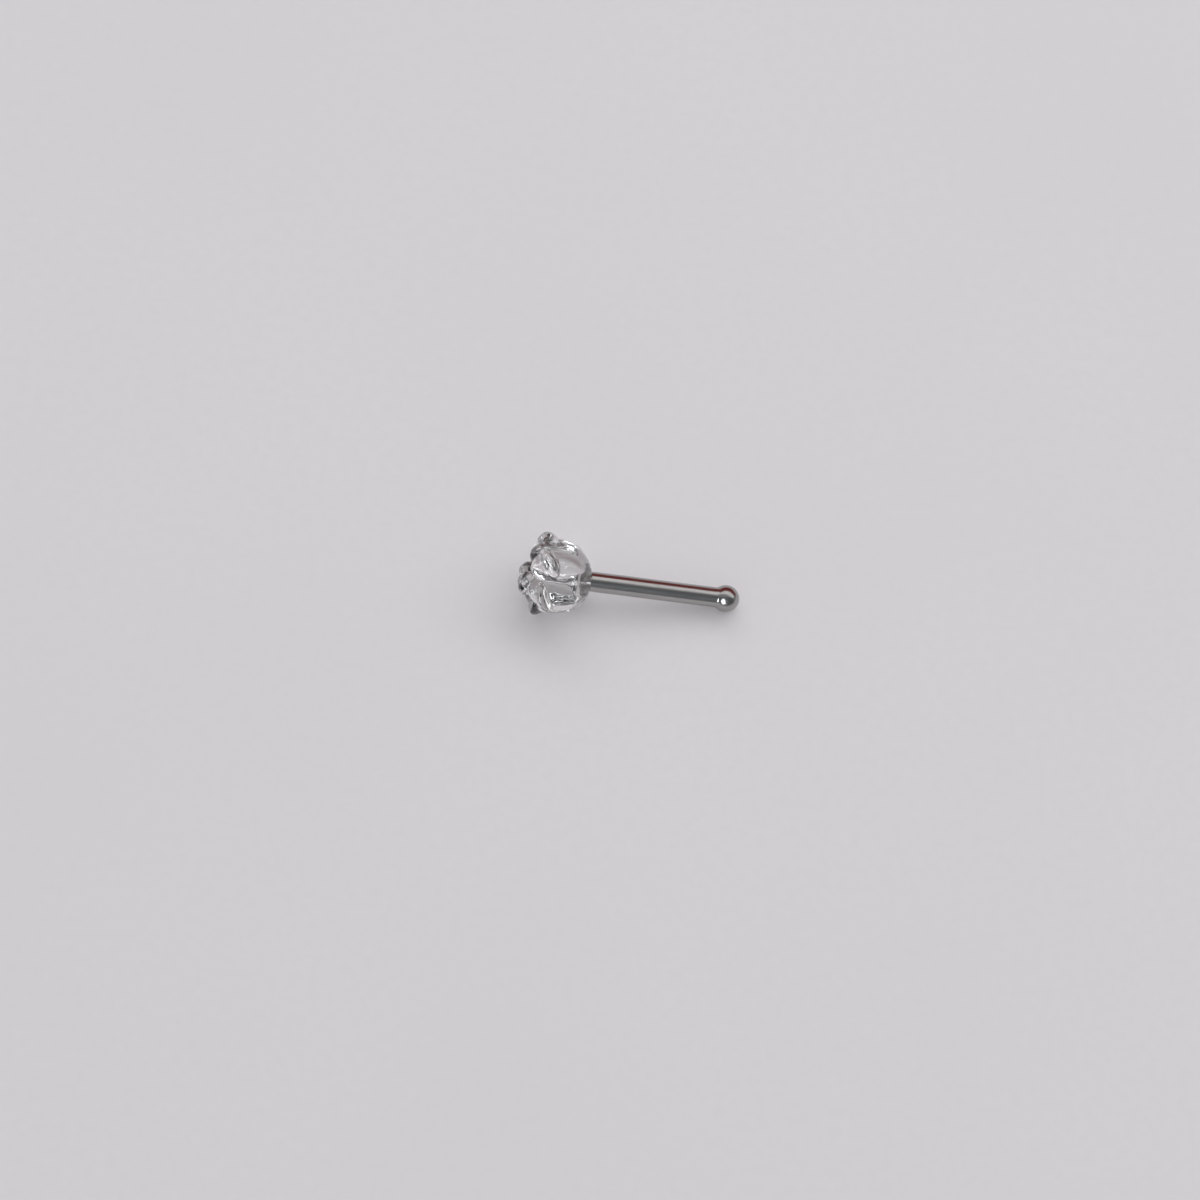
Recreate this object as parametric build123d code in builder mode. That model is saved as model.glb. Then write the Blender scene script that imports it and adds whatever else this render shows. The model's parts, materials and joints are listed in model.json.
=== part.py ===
from build123d import *
from math import asin, cos, degrees, sin, sqrt
import os

# A nose stud: a clear crystal flower, moulded in one piece, on a polished metal post with a ball end.
# It lies on its side as it rests by itself, on two of the five petals and on the ball.
# Millimetres, +Z up. The origin is the middle of the bounding box's base.
# Along the stud, x runs from the flower's middle to the ball, so its face looks towards minus x.

# ---- Driving dimensions ----

POST_DIAMETER = 0.80
BALL_DIAMETER = 1.08
BALL_DISTANCE = 6.90  # from the flower's middle to the ball's middle
NECK_FILLET = 0.14
PEG_START = 0.62  # where the peg ends inside the flower
PEG_CHAMFER = 0.05
HOLE_CLEARANCE = 0.02

CAP_RADIUS = 1.48  # the smooth round cap at the flower's back
CAP_EDGE = 0.70  # along the stud, where the cap starts to slope down between the petals
CAP_SLOPE_END = (0.30, 1.05)  # along the stud, and out from its axis
CORE_HALF_LENGTH = 1.10
CORE_RADIUS = 1.20
CORE_MIDDLE = 0.35  # along the stud

PETALS = 5
PETAL_BODY_HALF_LENGTH = 1.10
PETAL_BODY_RADIUS = 0.74
PETAL_BODY_PLACE = (0.02, 0.78)
PETAL_TIP_HALF_THICKNESS = 0.34
PETAL_TIP_RADIUS = 0.66
PETAL_TIP_PLACE = (-0.40, 1.10)
PETAL_TIP_CURL = 12.0  # degrees that the tip curls towards the flower's face
PETAL_TIP_TWIST = 30.0  # degrees that it turns about the line from the axis to the tip, as in a pinwheel

BOSS_RADIUS = 0.58
BOSS_DEPTH = 0.68
LOBES = 5
LOBE_RADIUS = 0.33
LOBE_DEPTH = 1.09
LOBE_RING_RADIUS = 0.36
CENTRE_SHIFT = 0.16  # how far the centre sits off the stud's axis
CENTRE_TURN = 108.0  # towards which side, in degrees round from the first petal

# ---- Planes of the stud ----
# A long section has its local x along the stud, to the ball, and its local y out from the stud's axis.


def long_section(middle, tilt):
    """The upright long section through the flower's middle, with the ball end down by tilt, in radians."""
    return Plane(origin=middle, x_dir=(cos(tilt), 0, -sin(tilt)), z_dir=(0, -1, 0))


def turned(plane, angle):
    """The plane turned about its own x axis."""
    return Plane(plane.location * Location((0, 0, 0), (angle, 0, 0)))


def moved(plane, place, lean=0.0, twist=0.0):
    """The plane moved to a place in itself, leaned in itself, and then twisted about its own y axis."""
    leaned = Location((*place, 0), (0, 0, lean))
    return Plane(plane.location * leaned * Location((0, 0, 0), (0, twist, 0)))


def petal_sections(flower):
    """One long section through each petal, from the flower's own."""
    return [turned(flower, petal * 360 / PETALS) for petal in range(PETALS)]


def petal_tips(flower):
    """The planes of the petals' tips."""
    sections = petal_sections(flower)
    return [moved(section, PETAL_TIP_PLACE, PETAL_TIP_CURL, PETAL_TIP_TWIST) for section in sections]


def flower_centre(flower):
    """The long section through the flower's centre, which sits a little off the stud's axis."""
    shifted = moved(turned(flower, CENTRE_TURN), (0, CENTRE_SHIFT))
    return turned(shifted, -CENTRE_TURN)


def lobe_planes(flower):
    """The planes of the small lobes, which stand in a ring round the flower's centre, between the petals."""
    centre = flower_centre(flower)
    sections = [turned(centre, (lobe + 0.5) * 360 / LOBES) for lobe in range(LOBES)]
    return [moved(section, (-LOBE_DEPTH, LOBE_RING_RADIUS)) for section in sections]


def tip_extent(tip, side):
    """How far a petal's tip comes towards a side, from the world's origin."""
    share = tip.x_dir.dot(side)
    swell = sqrt((PETAL_TIP_HALF_THICKNESS * share) ** 2 + PETAL_TIP_RADIUS**2 * (1 - share**2))
    return tip.origin.dot(side) + swell


# ---- Resting pose ----
# The stud tilts and rolls until two neighbouring petal tips and the ball touch the ground.

RESTING_PETALS = (2, 3)  # counted from the one on top
SOLVING_STEPS = 40
DOWN = Vector(0, 0, -1)
ACROSS = Vector(0, 1, 0)

ball_radius = BALL_DIAMETER / 2
tilt = 0.0
roll = 0.0
for step in range(SOLVING_STEPS):
    trial_flower = turned(long_section((0, 0, 0), tilt), roll)
    tips = petal_tips(trial_flower)
    first_reach, second_reach = [tip_extent(tips[petal], DOWN) for petal in RESTING_PETALS]
    tilt = asin((first_reach - ball_radius) / BALL_DISTANCE)
    roll += degrees(second_reach - first_reach) / (2 * PETAL_TIP_PLACE[1])

head_height = first_reach
front_reach = LOBE_RADIUS - min(lobe.origin.X for lobe in lobe_planes(trial_flower))
back_reach = BALL_DISTANCE * cos(tilt) + ball_radius
right_reach = max(tip_extent(tip, ACROSS) for tip in tips)
left_reach = max(tip_extent(tip, -ACROSS) for tip in tips)
head_middle = ((front_reach - back_reach) / 2, (left_reach - right_reach) / 2, head_height)

section = long_section(head_middle, tilt)
flower = turned(section, roll)
stud_axis = Axis(section.origin, section.x_dir)


def spin_oval(plane, half_length, radius):
    """Adds an egg shape to the part being built, spun about the plane's own x axis."""
    with BuildSketch(plane) as half:
        with BuildLine():
            EllipticalCenterArc((0, 0), half_length, radius, 0, arc_size=180)
            Line((-half_length, 0), (half_length, 0))
        make_face()
    revolve(half.sketch, axis=Axis(plane.origin, plane.x_dir))


os.makedirs("parts", exist_ok=True)

# ---- Ball-end post: peg, shaft and ball are one piece of wire ----

post_radius = POST_DIAMETER / 2
neck = BALL_DISTANCE - sqrt(ball_radius**2 - post_radius**2)
ball_tip = BALL_DISTANCE + ball_radius

with BuildPart() as ball_end_post:
    with BuildSketch(section) as post_profile:
        with BuildLine():
            Polyline(
                (BALL_DISTANCE, 0),
                (PEG_START, 0),
                (PEG_START, post_radius - PEG_CHAMFER),
                (PEG_START + PEG_CHAMFER, post_radius),
                (neck, post_radius),
            )
            RadiusArc((neck, post_radius), (ball_tip, 0), ball_radius)
            Line((ball_tip, 0), (BALL_DISTANCE, 0))
        make_face()
    revolve(post_profile.sketch, axis=stud_axis)
    shaft_circles = ball_end_post.edges().filter_by(GeomType.CIRCLE).group_by(SortBy.RADIUS)[1]
    fillet(shaft_circles.sort_by(stud_axis)[-1], NECK_FILLET)

ball_end_post.part.label = "ball_end_post"
export_step(ball_end_post.part, "parts/ball_end_post.step")

# ---- Crystal flower ----

cap_edge_radius = sqrt(CAP_RADIUS**2 - CAP_EDGE**2)
hole_start = section.from_local_coords((PEG_START - HOLE_CLEARANCE, 0, 0))
hole_floor = Plane(hole_start, z_dir=section.x_dir)

with BuildPart() as crystal_flower:
    # the smooth cap at the back
    with BuildSketch(section) as cap_profile:
        with BuildLine():
            RadiusArc((CAP_RADIUS, 0), (CAP_EDGE, cap_edge_radius), -CAP_RADIUS)
            Polyline((CAP_EDGE, cap_edge_radius), CAP_SLOPE_END, (CAP_SLOPE_END[0], 0), (CAP_RADIUS, 0))
        make_face()
    revolve(cap_profile.sketch, axis=stud_axis)

    # the core, which shows only at the bottom of the grooves between the petals
    spin_oval(moved(section, (CORE_MIDDLE, 0)), CORE_HALF_LENGTH, CORE_RADIUS)

    # petals: a long body that runs back to the cap, and a thin rounded tip that opens outwards
    for petal_section in petal_sections(flower):
        spin_oval(moved(petal_section, PETAL_BODY_PLACE), PETAL_BODY_HALF_LENGTH, PETAL_BODY_RADIUS)
    for tip in petal_tips(flower):
        spin_oval(tip, PETAL_TIP_HALF_THICKNESS, PETAL_TIP_RADIUS)

    # the flower's centre: a boss with a ring of small lobes
    spin_oval(moved(flower_centre(flower), (-BOSS_DEPTH, 0)), BOSS_RADIUS, BOSS_RADIUS)
    for lobe in lobe_planes(flower):
        spin_oval(lobe, LOBE_RADIUS, LOBE_RADIUS)

    # the blind hole for the peg
    with BuildSketch(hole_floor) as hole_outline:
        Circle(post_radius + HOLE_CLEARANCE)
    extrude(hole_outline.sketch, amount=CAP_RADIUS, mode=Mode.SUBTRACT)

crystal_flower.part.label = "crystal_flower"
export_step(crystal_flower.part, "parts/crystal_flower.step")
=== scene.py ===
import json
from math import acos, cos, pi, radians, sin, sqrt

import bpy
from bpy.props import FloatProperty, FloatVectorProperty, IntProperty, PointerProperty
from mathutils import Matrix, Vector


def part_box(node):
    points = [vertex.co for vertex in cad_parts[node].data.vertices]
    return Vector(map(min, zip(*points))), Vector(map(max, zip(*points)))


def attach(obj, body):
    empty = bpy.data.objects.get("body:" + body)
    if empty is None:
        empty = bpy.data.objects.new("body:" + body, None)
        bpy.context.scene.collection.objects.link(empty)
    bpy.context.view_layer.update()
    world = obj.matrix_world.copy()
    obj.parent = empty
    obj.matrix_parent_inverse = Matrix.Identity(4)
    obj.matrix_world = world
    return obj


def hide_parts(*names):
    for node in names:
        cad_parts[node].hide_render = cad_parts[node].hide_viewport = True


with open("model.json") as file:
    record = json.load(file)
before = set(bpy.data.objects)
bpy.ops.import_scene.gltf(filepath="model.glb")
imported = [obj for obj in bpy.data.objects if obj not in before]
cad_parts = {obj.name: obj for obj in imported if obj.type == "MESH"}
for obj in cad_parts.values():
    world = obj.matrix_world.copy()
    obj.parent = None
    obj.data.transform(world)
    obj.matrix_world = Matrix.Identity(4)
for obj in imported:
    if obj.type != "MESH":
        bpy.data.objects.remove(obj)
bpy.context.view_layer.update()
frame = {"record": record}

bl_info = {
    "name": "Crystal flower nose stud",
    "version": (1, 0, 0),
    "blender": (4, 5, 0),
    "location": "View3D > Sidebar > Nose Stud",
    "description": "Builds a nose stud with a moulded crystal flower, a steel post and a ball end",
    "category": "Object",
}

# ---- The stud's frame, read from the solids ----
# Along the stud, x runs from the flower's middle to the ball, and z stands out from it, upwards.

MM = 0.001
POST_LOW, POST_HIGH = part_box("ball_end_post")
SEAT = frame["record"]["mounts"][0]
ALONG = Vector(SEAT["axis"]).normalized()
ACROSS = Vector((0, 1, 0))
SHAFT_RADIUS = SEAT["dims"]["r_mm"] * MM
BALL_RADIUS = (POST_HIGH.y - POST_LOW.y) / 2
BALL_DISTANCE = 6.90 * MM  # from the flower's middle to the ball's
BALL_MIDDLE = Vector(
    (POST_HIGH.x - BALL_RADIUS, POST_HIGH.y - BALL_RADIUS, POST_LOW.z + BALL_RADIUS)
)
FLOWER_MIDDLE = BALL_MIDDLE - ALONG * BALL_DISTANCE
STUD_POSE = Matrix.Translation(FLOWER_MIDDLE) @ Matrix(
    (ALONG, ACROSS, ALONG.cross(ACROSS))
).transposed().to_4x4()


# ---- Sizes and colours that a user may change ----


class PostSizes(bpy.types.PropertyGroup):
    shaft_diameter: FloatProperty(
        name="Shaft diameter",
        description="Thickness of the wire",
        default=2 * SHAFT_RADIUS,
        unit="LENGTH",
    )
    ball_diameter: FloatProperty(
        name="Ball diameter",
        description="Size of the ball end",
        default=2 * BALL_RADIUS,
        unit="LENGTH",
    )
    ball_distance: FloatProperty(
        name="Ball distance",
        description="From the flower's middle to the ball's middle",
        default=BALL_DISTANCE,
        unit="LENGTH",
    )
    peg_start: FloatProperty(
        name="Peg start",
        description="Where the peg ends inside the flower, from the flower's middle",
        default=0.62 * MM,
        unit="LENGTH",
    )
    peg_chamfer: FloatProperty(
        name="Peg chamfer",
        description="Chamfer at the end of the peg",
        default=0.05 * MM,
        unit="LENGTH",
    )
    neck_fillet: FloatProperty(
        name="Neck fillet",
        description="Radius of the soft neck between the shaft and the ball",
        default=0.14 * MM,
        unit="LENGTH",
    )


class FlowerSizes(bpy.types.PropertyGroup):
    petals: IntProperty(
        name="Petals", description="How many petals stand round the flower", default=5
    )
    cap_radius: FloatProperty(
        name="Cap radius",
        description="Radius of the smooth round back",
        default=1.48 * MM,
        unit="LENGTH",
    )
    cap_edge: FloatProperty(
        name="Cap edge",
        description="Where the cap gives way to the petals, from the flower's middle",
        default=0.70 * MM,
        unit="LENGTH",
    )
    grain: FloatProperty(
        name="Mesh grain",
        description="Size of the mesh that the creases melt into",
        default=0.0225 * MM,
        unit="LENGTH",
    )
    softness: IntProperty(
        name="Crease softness", description="How often the creases are smoothed", default=8
    )


class StudFinish(bpy.types.PropertyGroup):
    steel: FloatVectorProperty(
        name="Steel",
        description="Colour of the polished steel",
        default=(0.43, 0.42, 0.41),
        subtype="COLOR",
    )
    crystal: FloatVectorProperty(
        name="Crystal",
        description="Tint of the clear crystal",
        default=(0.925, 0.908, 0.897),
        subtype="COLOR",
    )
    crystal_index: FloatProperty(
        name="Refractive index", description="How strongly the crystal bends light", default=1.88
    )
    floor: FloatVectorProperty(
        name="Floor",
        description="Colour of the plain floor",
        default=(0.80, 0.772, 0.80),
        subtype="COLOR",
    )


class StageSizes(bpy.types.PropertyGroup):
    elevation: FloatProperty(
        name="Camera elevation",
        description="Height of the view",
        default=radians(68),
        subtype="ANGLE",
    )
    azimuth: FloatProperty(
        name="Camera azimuth",
        description="Turn of the view from the front",
        default=radians(-4.4),
        subtype="ANGLE",
    )
    roll: FloatProperty(
        name="Camera roll",
        description="Lean of the picture",
        default=radians(8.4),
        subtype="ANGLE",
    )
    lens: FloatProperty(name="Lens", description="Focal length in millimetres", default=100.0)
    view_width: FloatProperty(
        name="View width",
        description="Width of what the camera sees",
        default=47.3 * MM,
        unit="LENGTH",
    )
    aim_across: FloatProperty(
        name="Aim across",
        description="How far right of the flower the view's middle lies",
        default=1.774 * MM,
        unit="LENGTH",
    )
    aim_down: FloatProperty(
        name="Aim down",
        description="How far below the flower the view's middle lies",
        default=0.907 * MM,
        unit="LENGTH",
    )
    key_power: FloatProperty(
        name="Key light",
        description="Power of the soft lamp behind the stud, which casts the shadow",
        default=2.24,
        unit="POWER",
    )
    fill_power: FloatProperty(
        name="Fill light",
        description="Power of the light that lifts the shadows",
        default=0.78,
        unit="POWER",
    )


# ---- Modelling helpers ----
# A piece is modelled in millimetres, a thousand times its size and along its own axis. It is then
# laid down at its true size.

MERGE_DISTANCE = 1e-5


def start_fresh():
    """Nothing is selected, so that an operator acts only on what comes next."""
    bpy.ops.object.select_all(action="DESELECT")


def only(piece):
    """Selects one object and makes it the active one."""
    start_fresh()
    piece.select_set(True)
    bpy.context.view_layer.objects.active = piece


def settle():
    """Moves the selected object's place, turn and scale into its mesh."""
    bpy.ops.object.transform_apply(location=True, rotation=True, scale=True)


def lay_down(piece, name, node):
    """Brings a piece from millimetres to its true size and place, and enters it in the frame."""
    only(piece)
    piece.matrix_world = STUD_POSE @ Matrix.Diagonal((MM, MM, MM, 1)) @ piece.matrix_world
    settle()
    piece.name = name
    piece.data.name = name
    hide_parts(node)
    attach(piece, "root")


def apply_modifier(piece, kind, **settings):
    """Adds a modifier with these settings and applies it."""
    only(piece)
    modifier = piece.modifiers.new(kind.lower(), kind)
    for name, value in settings.items():
        setattr(modifier, name, value)
    bpy.ops.object.modifier_apply(modifier=modifier.name)


def select_vertices(piece, test):
    """In edit mode, selects the vertices that pass the test, and the edges between them."""
    bpy.ops.mesh.select_mode(type="VERT")
    bpy.ops.mesh.select_all(action="DESELECT")
    bpy.ops.object.mode_set(mode="OBJECT")
    for vertex in piece.data.vertices:
        vertex.select = test(vertex.co)
    bpy.ops.object.mode_set(mode="EDIT")
    bpy.ops.mesh.select_mode(type="EDGE")


def merge_doubles():
    """In edit mode, merges doubled points and turns the faces outwards."""
    bpy.ops.mesh.select_all(action="SELECT")
    bpy.ops.mesh.remove_doubles(threshold=MERGE_DISTANCE)
    bpy.ops.mesh.normals_make_consistent(inside=False)


# ---- Materials ----
# The scale of marks is in marks per metre. Shades are what a colour is multiplied by. Shades and
# roughness run from one end of the mask to the other, on the steel from clean to dull patches.

STEEL_MARKS = {"fine_scale": 14000, "broad_scale": 2600}
STEEL_SHADES = (1.0, 0.82)
STEEL_ROUGHNESS = (0.16, 0.28)
STEEL_BUMP = {"strength": 0.08, "distance": 0.002 * MM}
DRAWN_OUT = 0.06  # the marks' scale along the wire, as a share of their scale round it
CRYSTAL_MARKS = {"fine_scale": 6000, "broad_scale": 1900}
CRYSTAL_SHADES = (1.0, 0.95)
CRYSTAL_ROUGHNESS = (0.0, 0.03)
CRYSTAL_BUMP = {"strength": 0.6, "distance": 0.042 * MM}
FLOOR_MARKS = {"fine_scale": 2500, "broad_scale": 60}
FLOOR_SHADES = (0.985, 1.015)
FLOOR_ROUGHNESS = 0.9
MARK_DETAIL = 1.5
FINE_SHARE = 0.10  # how much the fine marks add to the height of the broad ones
MASK_LOW, MASK_HIGH = 0.1, 0.5  # nearly all of the mask lies between these


def new_material(name):
    """A new material with its node tree, its Principled BSDF and a mapped object coordinate."""
    material = bpy.data.materials.new(name)
    material.use_nodes = True
    tree = material.node_tree
    shader = tree.nodes["Principled BSDF"]
    coordinate = tree.nodes.new("ShaderNodeTexCoord")
    mapping = tree.nodes.new("ShaderNodeMapping")
    tree.links.new(coordinate.outputs["Object"], mapping.inputs["Vector"])
    return material, tree, shader, mapping


def surface_marks():
    """A group that gives fine and broad marks: a soft height for bump, and a mask of patches."""
    name = "surface_marks"
    if name in bpy.data.node_groups:
        return bpy.data.node_groups[name]
    group = bpy.data.node_groups.new(name, "ShaderNodeTree")
    group.interface.new_socket("Vector", in_out="INPUT", socket_type="NodeSocketVector")
    for socket in ("Fine scale", "Broad scale"):
        group.interface.new_socket(socket, in_out="INPUT", socket_type="NodeSocketFloat")
    for socket in ("Height", "Mask"):
        group.interface.new_socket(socket, in_out="OUTPUT", socket_type="NodeSocketFloat")
    nodes, links = group.nodes, group.links
    source = nodes.new("NodeGroupInput")
    result = nodes.new("NodeGroupOutput")
    fine_noise = nodes.new("ShaderNodeTexNoise")
    broad_noise = nodes.new("ShaderNodeTexNoise")
    for noise, socket in ((fine_noise, "Fine scale"), (broad_noise, "Broad scale")):
        noise.inputs["Detail"].default_value = MARK_DETAIL
        links.new(source.outputs["Vector"], noise.inputs["Vector"])
        links.new(source.outputs[socket], noise.inputs["Scale"])
    height = nodes.new("ShaderNodeMath")
    height.operation = "MULTIPLY_ADD"
    height.inputs[1].default_value = FINE_SHARE
    links.new(fine_noise.outputs["Fac"], height.inputs[0])
    links.new(broad_noise.outputs["Fac"], height.inputs[2])
    mask = nodes.new("ShaderNodeMath")
    mask.operation = "MULTIPLY"
    links.new(fine_noise.outputs["Fac"], mask.inputs[0])
    links.new(broad_noise.outputs["Fac"], mask.inputs[1])
    links.new(height.outputs["Value"], result.inputs["Height"])
    links.new(mask.outputs["Value"], result.inputs["Mask"])
    return group


def add_marks(tree, mapping, fine_scale, broad_scale):
    """Places the marks group in a material, and gives its height and its mask."""
    marks = tree.nodes.new("ShaderNodeGroup")
    marks.node_tree = surface_marks()
    marks.inputs["Fine scale"].default_value = fine_scale
    marks.inputs["Broad scale"].default_value = broad_scale
    tree.links.new(mapping.outputs["Vector"], marks.inputs["Vector"])
    return marks.outputs["Height"], marks.outputs["Mask"]


def spread(tree, mask, low, high):
    """Spreads a mask over the range from low to high."""
    node = tree.nodes.new("ShaderNodeMapRange")
    node.inputs["From Min"].default_value = MASK_LOW
    node.inputs["From Max"].default_value = MASK_HIGH
    node.inputs["To Min"].default_value = low
    node.inputs["To Max"].default_value = high
    tree.links.new(mask, node.inputs["Value"])
    return node.outputs["Result"]


def add_shades(tree, shader, mask, colour, shades):
    """The base colour, which varies between two shades of a colour by the mask."""
    tint = tree.nodes.new("ShaderNodeMixRGB")
    for socket, shade in zip(("Color1", "Color2"), shades):
        tint.inputs[socket].default_value = (*[channel * shade for channel in colour], 1)
    tree.links.new(spread(tree, mask, 0.0, 1.0), tint.inputs["Fac"])
    tree.links.new(tint.outputs["Color"], shader.inputs["Base Color"])


def add_bump(tree, shader, height, strength, distance):
    """Bump from a height, into the shader's normal."""
    bump = tree.nodes.new("ShaderNodeBump")
    bump.inputs["Strength"].default_value = strength
    bump.inputs["Distance"].default_value = distance
    tree.links.new(height, bump.inputs["Height"])
    tree.links.new(bump.outputs["Normal"], shader.inputs["Normal"])


def polished_steel(finish):
    """Steel polished along the wire, with faint drawing marks and duller patches."""
    material, tree, shader, mapping = new_material("polished_steel")
    lean = acos(ALONG.x)
    mapping.inputs["Rotation"].default_value = (0, -lean, 0)
    mapping.inputs["Scale"].default_value = (DRAWN_OUT, 1, 1)
    height, mask = add_marks(tree, mapping, **STEEL_MARKS)
    add_shades(tree, shader, mask, finish.steel, STEEL_SHADES)
    tree.links.new(spread(tree, mask, *STEEL_ROUGHNESS), shader.inputs["Roughness"])
    shader.inputs["Metallic"].default_value = 1.0
    add_bump(tree, shader, height, **STEEL_BUMP)
    return material


def clear_crystal(finish):
    """Clear moulded crystal: fire-polished, with a faint waviness from the mould."""
    material, tree, shader, mapping = new_material("clear_crystal")
    height, mask = add_marks(tree, mapping, **CRYSTAL_MARKS)
    add_shades(tree, shader, mask, finish.crystal, CRYSTAL_SHADES)
    tree.links.new(spread(tree, mask, *CRYSTAL_ROUGHNESS), shader.inputs["Roughness"])
    shader.inputs["Transmission Weight"].default_value = 1.0
    shader.inputs["IOR"].default_value = finish.crystal_index
    add_bump(tree, shader, height, **CRYSTAL_BUMP)
    return material


def floor_finish(finish):
    """A matt pale surface, faintly mottled."""
    material, tree, shader, mapping = new_material("pale_floor")
    _, mask = add_marks(tree, mapping, **FLOOR_MARKS)
    add_shades(tree, shader, mask, finish.floor, FLOOR_SHADES)
    shader.inputs["Roughness"].default_value = FLOOR_ROUGHNESS
    return material


def glow(name, colour):
    """A card that gives out light and takes none."""
    material = bpy.data.materials.new(name)
    material.use_nodes = True
    tree = material.node_tree
    tree.nodes.clear()
    emission = tree.nodes.new("ShaderNodeEmission")
    emission.inputs["Color"].default_value = (*colour, 1)
    result = tree.nodes.new("ShaderNodeOutputMaterial")
    tree.links.new(emission.outputs["Emission"], result.inputs["Surface"])
    return material


# ---- Ball-end post ----

ROUND = 128  # points round the post, the ball and the flower's cap
NECK_SEGMENTS = 8
CUT_TOLERANCE = 1e-4
SMOOTH_ANGLE = radians(40)


class STUD_OT_ball_end_post(bpy.types.Operator):
    """Makes the post in one piece of wire: peg, shaft, neck and ball"""

    bl_idname = "stud.ball_end_post"
    bl_label = "Ball-end post"

    def execute(self, context):
        sizes = context.scene.post_sizes
        shaft_radius = sizes.shaft_diameter / 2 / MM
        ball_radius = sizes.ball_diameter / 2 / MM
        ball_distance = sizes.ball_distance / MM
        peg_start = sizes.peg_start / MM
        chamfer = sizes.peg_chamfer / MM
        fillet = sizes.neck_fillet / MM

        # the post's rings, as x along the stud and radius, from where the neck leaves the ball
        neck_sweep = acos((shaft_radius + fillet) / (ball_radius + fillet))
        neck_middle = ball_distance - (ball_radius + fillet) * sin(neck_sweep)
        rings = []
        for step in range(NECK_SEGMENTS, -1, -1):
            angle = neck_sweep * step / NECK_SEGMENTS
            rings.append(
                (neck_middle + fillet * sin(angle), shaft_radius + fillet * (1 - cos(angle)))
            )
        rings.append((neck_middle - fillet, shaft_radius))
        rings.append((peg_start + fillet, shaft_radius))
        rings.append((peg_start + chamfer, shaft_radius))
        rings.append((peg_start, shaft_radius - chamfer))

        # the ball, cut where the neck leaves it
        start_fresh()
        bpy.ops.mesh.primitive_uv_sphere_add(
            segments=ROUND,
            ring_count=ROUND // 2,
            radius=ball_radius,
            location=(ball_distance, 0, 0),
            rotation=(0, pi / 2, 0),
        )
        post = context.object
        settle()
        bpy.ops.object.mode_set(mode="EDIT")
        bpy.ops.mesh.select_all(action="SELECT")
        cut, radius = rings[0]
        bpy.ops.mesh.bisect(plane_co=(cut, 0, 0), plane_no=(1, 0, 0), clear_inner=True)

        # the neck, the shaft and the peg grow out of the cut, ring by ring, and the end is closed
        select_vertices(post, lambda corner: abs(corner.x - cut) < CUT_TOLERANCE)
        place = cut
        for next_place, next_radius in rings[1:]:
            bpy.ops.mesh.extrude_edges_move(
                TRANSFORM_OT_translate={"value": (next_place - place, 0, 0)}
            )
            narrowing = next_radius / radius
            bpy.ops.transform.resize(
                value=(1, narrowing, narrowing), center_override=(next_place, 0, 0)
            )
            place, radius = next_place, next_radius
        bpy.ops.mesh.edge_face_add()
        merge_doubles()
        bpy.ops.object.mode_set(mode="OBJECT")

        only(post)
        bpy.ops.object.shade_smooth_by_angle(angle=SMOOTH_ANGLE)
        post.data.materials.append(polished_steel(context.scene.stud_finish))
        lay_down(post, "drawn_post", "ball_end_post")
        return {"FINISHED"}


# ---- Crystal flower ----
# The moulded ovals' sizes are in millimetres: half their length along the stud, their radius, and
# where their middle lies, along the stud and out from its axis. Curl and twist are in degrees.

PETAL_BODY = {"half_length": 1.10, "radius": 0.74, "along": 0.02, "out": 0.78}
PETAL_TIP = {
    "half_length": 0.34, "radius": 0.66, "along": -0.40, "out": 1.10, "curl": 12.0, "twist": 30.0
}
CORE = {"half_length": 1.10, "radius": 1.20, "along": 0.35}
BOSS = {"half_length": 0.58, "radius": 0.58, "along": -0.68, "subdivisions": 5}
CENTRE_LOBE = {
    "half_length": 0.33, "radius": 0.33, "along": -1.09, "out": 0.36, "subdivisions": 5
}
CENTRE_LOBES = 5
CENTRE_SHIFT = 0.16  # how far the centre sits off the stud's axis
CENTRE_TURN = radians(108)  # towards which side, from the first petal
CAP_SLOPE_END = 0.30  # along the stud, where the cap has sloped down to its smallest radius
CAP_SLOPE_RADIUS = 1.05
CREASE_FACTOR = 0.5  # how far a point goes towards its neighbours' middle at each smoothing
FLOWER_ROLL = radians(-3.1845)  # how the flower is turned once it rests on two petals


def oval(half_length, radius, along, out=0.0, curl=0.0, twist=0.0, subdivisions=6):
    """An egg shape that lies along the stud, curled towards the flower's face, and twisted."""
    start_fresh()
    bpy.ops.mesh.primitive_ico_sphere_add(subdivisions=subdivisions, radius=1.0)
    egg = bpy.context.object
    place = Matrix.Translation((along, 0, out))
    lean = Matrix.Rotation(radians(-curl), 4, "Y") @ Matrix.Rotation(radians(twist), 4, "Z")
    egg.matrix_world = place @ lean @ Matrix.Diagonal((half_length, radius, radius, 1))
    settle()
    return egg


def ring_of(piece, count, turn=0.0):
    """The piece and its copies, each with its own mesh, evenly spaced round the stud's axis."""
    ring = [piece]
    for _ in range(count - 1):
        only(piece)
        bpy.ops.object.duplicate(linked=False)
        ring.append(bpy.context.object)
    for place, copy in enumerate(ring):
        only(copy)
        copy.matrix_world = Matrix.Rotation(turn + place * 2 * pi / count, 4, "X")
        settle()
    return ring


def melt(pieces):
    """Joins closed pieces into one by a boolean union."""
    base, others = pieces[0], pieces[1:]
    group = bpy.data.collections.new("to_melt")
    bpy.context.scene.collection.children.link(group)
    for piece in others:
        group.objects.link(piece)
    apply_modifier(
        base,
        "BOOLEAN",
        operation="UNION",
        operand_type="COLLECTION",
        collection=group,
        solver="MANIFOLD",
    )
    for piece in others:
        bpy.data.objects.remove(piece)
    bpy.data.collections.remove(group)
    return base


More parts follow.
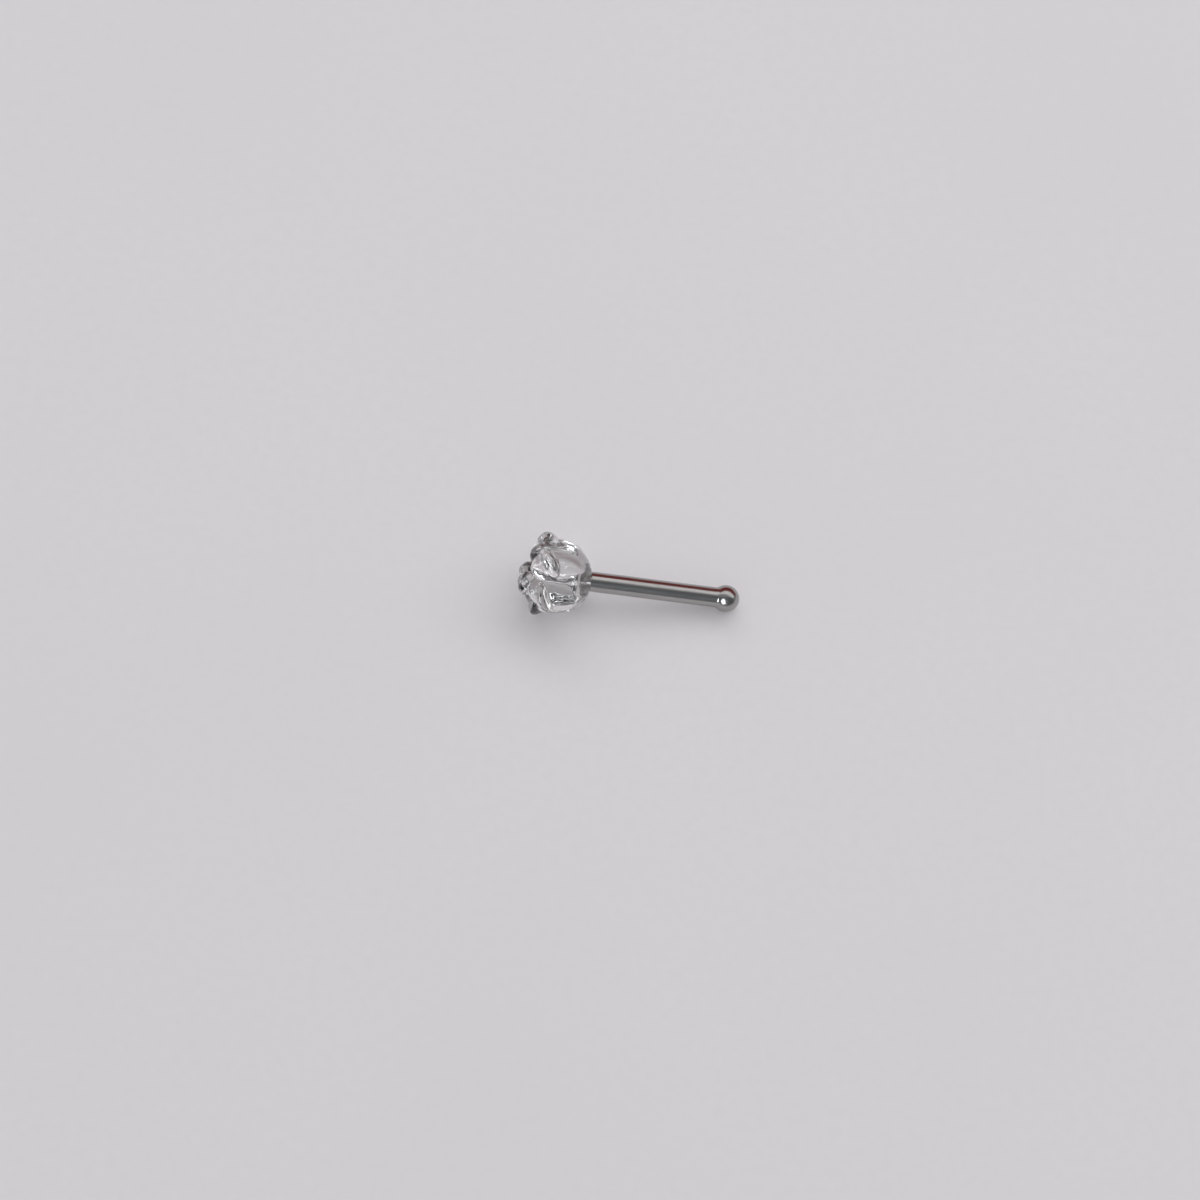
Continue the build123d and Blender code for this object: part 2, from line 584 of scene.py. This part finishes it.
class STUD_OT_crystal_flower(bpy.types.Operator):
    """Makes the crystal flower: cap, petals and a lobed centre, moulded in one round the peg"""

    bl_idname = "stud.crystal_flower"
    bl_label = "Crystal flower"

    def execute(self, context):
        sizes = context.scene.flower_sizes
        cap_radius = sizes.cap_radius / MM
        cap_edge = sizes.cap_edge / MM
        cap_edge_radius = sqrt(cap_radius**2 - cap_edge**2)

        # the smooth cap at the back is part of a ball, and slopes down in front, between the petals
        start_fresh()
        bpy.ops.mesh.primitive_uv_sphere_add(
            segments=ROUND, ring_count=ROUND, radius=cap_radius, rotation=(0, pi / 2, 0)
        )
        cap = context.object
        settle()
        bpy.ops.object.mode_set(mode="EDIT")
        bpy.ops.mesh.select_all(action="SELECT")
        bpy.ops.mesh.bisect(
            plane_co=(cap_edge, 0, 0), plane_no=(1, 0, 0), clear_inner=True, use_fill=True
        )
        bpy.ops.mesh.extrude_region_move(
            TRANSFORM_OT_translate={"value": (CAP_SLOPE_END - cap_edge, 0, 0)}
        )
        shrink = CAP_SLOPE_RADIUS / cap_edge_radius
        bpy.ops.transform.resize(
            value=(1, shrink, shrink), center_override=(CAP_SLOPE_END, 0, 0)
        )
        bpy.ops.object.mode_set(mode="OBJECT")

        # the flower's centre: a boss with a ring of small lobes, which stand between the petals
        boss = oval(**BOSS)
        lobes = ring_of(oval(**CENTRE_LOBE), CENTRE_LOBES, turn=pi / CENTRE_LOBES)
        for piece in (boss, *lobes):
            only(piece)
            piece.location = (
                0, -CENTRE_SHIFT * sin(CENTRE_TURN), CENTRE_SHIFT * cos(CENTRE_TURN)
            )
            settle()

        bodies = ring_of(oval(**PETAL_BODY), sizes.petals)
        tips = ring_of(oval(**PETAL_TIP), sizes.petals)
        flower = melt([cap, oval(**CORE), *bodies, *tips, boss, *lobes])

        # the creases soften as they do in the fire
        apply_modifier(
            flower,
            "REMESH",
            mode="VOXEL",
            voxel_size=sizes.grain / MM,
            use_smooth_shade=True,
        )
        apply_modifier(flower, "SMOOTH", factor=CREASE_FACTOR, iterations=sizes.softness)

        flower.data.materials.clear()
        flower.data.materials.append(clear_crystal(context.scene.stud_finish))
        flower.matrix_world = Matrix.Rotation(FLOWER_ROLL, 4, "X")
        lay_down(flower, "moulded_flower", "crystal_flower")
        return {"FINISHED"}


# ---- Stage ----
# Cards and lamps all stand at one distance from the stud. Their azimuth is counted from the front
# and their elevation from the floor, in degrees. Past 90 degrees up they stand behind the stud.
# A lamp's power is in watts, and the key and the fill light have theirs in the user's settings.

SENSOR_WIDTH = 36.0  # millimetres, as the lens
NEAR_CLIP = 0.005
STAGE_DISTANCE = 0.6
FLOOR_SIZE = 3.0
ROOM_COLOUR = (1.0, 1.0, 1.02)
ROOM_STRENGTH = 0.36

FAR_CARD = {"azimuth": 180, "elevation": 22, "width": 3.4, "height": 0.50}
FAR_RED = (0.22, 0.045, 0.040)
NEAR_CARD = {"azimuth": 0, "elevation": 46, "width": 3.4, "height": 0.90}
NEAR_DARK = (0.15, 0.16, 0.17)
KEY_LIGHT = {
    "shape": "RECTANGLE", "azimuth": -26, "elevation": 131, "width": 1.60, "height": 0.30
}
STRIP_LAMP = {
    "shape": "RECTANGLE", "azimuth": -14, "elevation": 119.5, "width": 2.00, "height": 0.37
}
STRIP_POWER = 1.75
GLINT_LAMP = {"shape": "DISK", "azimuth": -20, "elevation": 38, "width": 0.46, "height": 0.46}
GLINT_POWER = 2.5
GLINT_COLOUR = (0.92, 0.96, 1.0)
FILL_LIGHT = {"shape": "DISK", "azimuth": 0, "elevation": 90, "width": 0.50, "height": 0.50}


def direction(azimuth, elevation):
    """The direction at this azimuth and elevation, in radians."""
    return Vector(
        (sin(azimuth) * cos(elevation), -cos(azimuth) * cos(elevation), sin(elevation))
    )


def face_stud(thing, azimuth, elevation):
    """Stands a card or a lamp in this direction, turned to the stud."""
    towards = direction(radians(azimuth), radians(elevation))
    turn = towards.to_track_quat("Z", "Y").to_matrix().to_4x4()
    thing.matrix_world = Matrix.Translation(towards * STAGE_DISTANCE) @ turn


def add_card(name, material, azimuth, elevation, width, height):
    """A card that only shows in what the metal and the crystal mirror or bend."""
    start_fresh()
    bpy.ops.mesh.primitive_plane_add(size=1.0)
    card = bpy.context.object
    card.scale = (width, height, 1)
    settle()
    face_stud(card, azimuth, elevation)
    settle()
    card.name = name
    card.data.materials.append(material)
    card.visible_camera = False
    card.visible_diffuse = False
    card.visible_shadow = False
    return card


def add_lamp(name, power, shape, azimuth, elevation, width, height):
    """A soft lamp."""
    light = bpy.data.lights.new(name, "AREA")
    light.shape = shape
    light.size = width
    light.size_y = height
    light.energy = power
    lamp = bpy.data.objects.new(name, light)
    bpy.context.scene.collection.objects.link(lamp)
    face_stud(lamp, azimuth, elevation)
    return lamp


def add_floor(scene):
    """The plain floor."""
    start_fresh()
    bpy.ops.mesh.primitive_plane_add(size=FLOOR_SIZE)
    floor = bpy.context.object
    floor.name = "floor"
    floor.data.materials.append(floor_finish(scene.stud_finish))


def add_cards():
    """What the steel mirrors: something dark red at the back, and the dim room in front."""
    far_card = add_card("far_card", glow("far_red", FAR_RED), **FAR_CARD)
    far_card.visible_transmission = False
    add_card("near_card", glow("near_dark", NEAR_DARK), **NEAR_CARD)


def add_lamps(stage):
    """The shadow, the pale line on the post and the glint on the ball each have their own lamp."""
    key = add_lamp("key_light", stage.key_power, **KEY_LIGHT)
    key.visible_glossy = False
    key.visible_transmission = False
    strip = add_lamp("strip_lamp", STRIP_POWER, **STRIP_LAMP)
    strip.visible_diffuse = False
    glint = add_lamp("glint_lamp", GLINT_POWER, **GLINT_LAMP)
    glint.data.color = GLINT_COLOUR
    glint.visible_diffuse = False
    fill = add_lamp("fill_light", stage.fill_power, **FILL_LIGHT)
    fill.data.use_shadow = False
    fill.visible_glossy = False
    fill.visible_transmission = False


def add_room(scene):
    """The soft light of a plain pale room."""
    world = bpy.data.worlds.new("soft_room")
    world.use_nodes = True
    background = world.node_tree.nodes["Background"]
    background.inputs["Color"].default_value = (*ROOM_COLOUR, 1)
    background.inputs["Strength"].default_value = ROOM_STRENGTH
    scene.world = world
    scene.view_settings.view_transform = "Standard"


def add_camera(scene, stage):
    """The camera, leaning by its roll and aimed beside and below the flower."""
    back = direction(stage.azimuth, stage.elevation)
    level = Vector((cos(stage.azimuth), sin(stage.azimuth), 0))
    upright = back.cross(level)
    right = level * cos(stage.roll) + upright * sin(stage.roll)
    up = upright * cos(stage.roll) - level * sin(stage.roll)
    aim = FLOWER_MIDDLE + right * stage.aim_across - up * stage.aim_down
    distance = stage.view_width * stage.lens / SENSOR_WIDTH
    lens = bpy.data.cameras.new("camera")
    lens.lens = stage.lens
    lens.sensor_width = SENSOR_WIDTH
    lens.clip_start = NEAR_CLIP
    camera = bpy.data.objects.new("camera", lens)
    scene.collection.objects.link(camera)
    turn = Matrix((right, up, back)).transposed().to_4x4()
    camera.matrix_world = Matrix.Translation(aim + back * distance) @ turn
    scene.camera = camera


class STUD_OT_stage(bpy.types.Operator):
    """Sets the plain floor, the soft light, the cards that the metal reflects, and the camera"""

    bl_idname = "stud.stage"
    bl_label = "Floor, light and camera"

    def execute(self, context):
        scene = context.scene
        add_floor(scene)
        add_cards()
        add_lamps(scene.stage_sizes)
        add_room(scene)
        add_camera(scene, scene.stage_sizes)
        return {"FINISHED"}


# ---- Panel and registration ----


class STUD_PT_panel(bpy.types.Panel):
    """The nose stud's pieces and sizes"""

    bl_idname = "STUD_PT_panel"
    bl_label = "Nose stud"
    bl_space_type = "VIEW_3D"
    bl_region_type = "UI"
    bl_category = "Nose Stud"

    def draw(self, context):
        column = self.layout.column()
        for operator in OPERATORS:
            column.operator(operator.bl_idname)
        for group, kind in SETTINGS.items():
            settings = getattr(context.scene, group)
            for name in kind.__annotations__:
                column.prop(settings, name)


OPERATORS = (STUD_OT_ball_end_post, STUD_OT_crystal_flower, STUD_OT_stage)
SETTINGS = {
    "post_sizes": PostSizes,
    "flower_sizes": FlowerSizes,
    "stud_finish": StudFinish,
    "stage_sizes": StageSizes,
}


def register():
    for name, settings in SETTINGS.items():
        bpy.utils.register_class(settings)
        setattr(bpy.types.Scene, name, PointerProperty(type=settings))
    for operator in OPERATORS:
        bpy.utils.register_class(operator)
    bpy.utils.register_class(STUD_PT_panel)


def unregister():
    bpy.utils.unregister_class(STUD_PT_panel)
    for operator in reversed(OPERATORS):
        bpy.utils.unregister_class(operator)
    for name, settings in reversed(SETTINGS.items()):
        delattr(bpy.types.Scene, name)
        bpy.utils.unregister_class(settings)


def main():
    """Builds every piece and the stage, in order."""
    register()
    bpy.ops.stud.ball_end_post()
    bpy.ops.stud.crystal_flower()
    bpy.ops.stud.stage()
    bpy.context.view_layer.update()


if __name__ == "__main__":
    main()
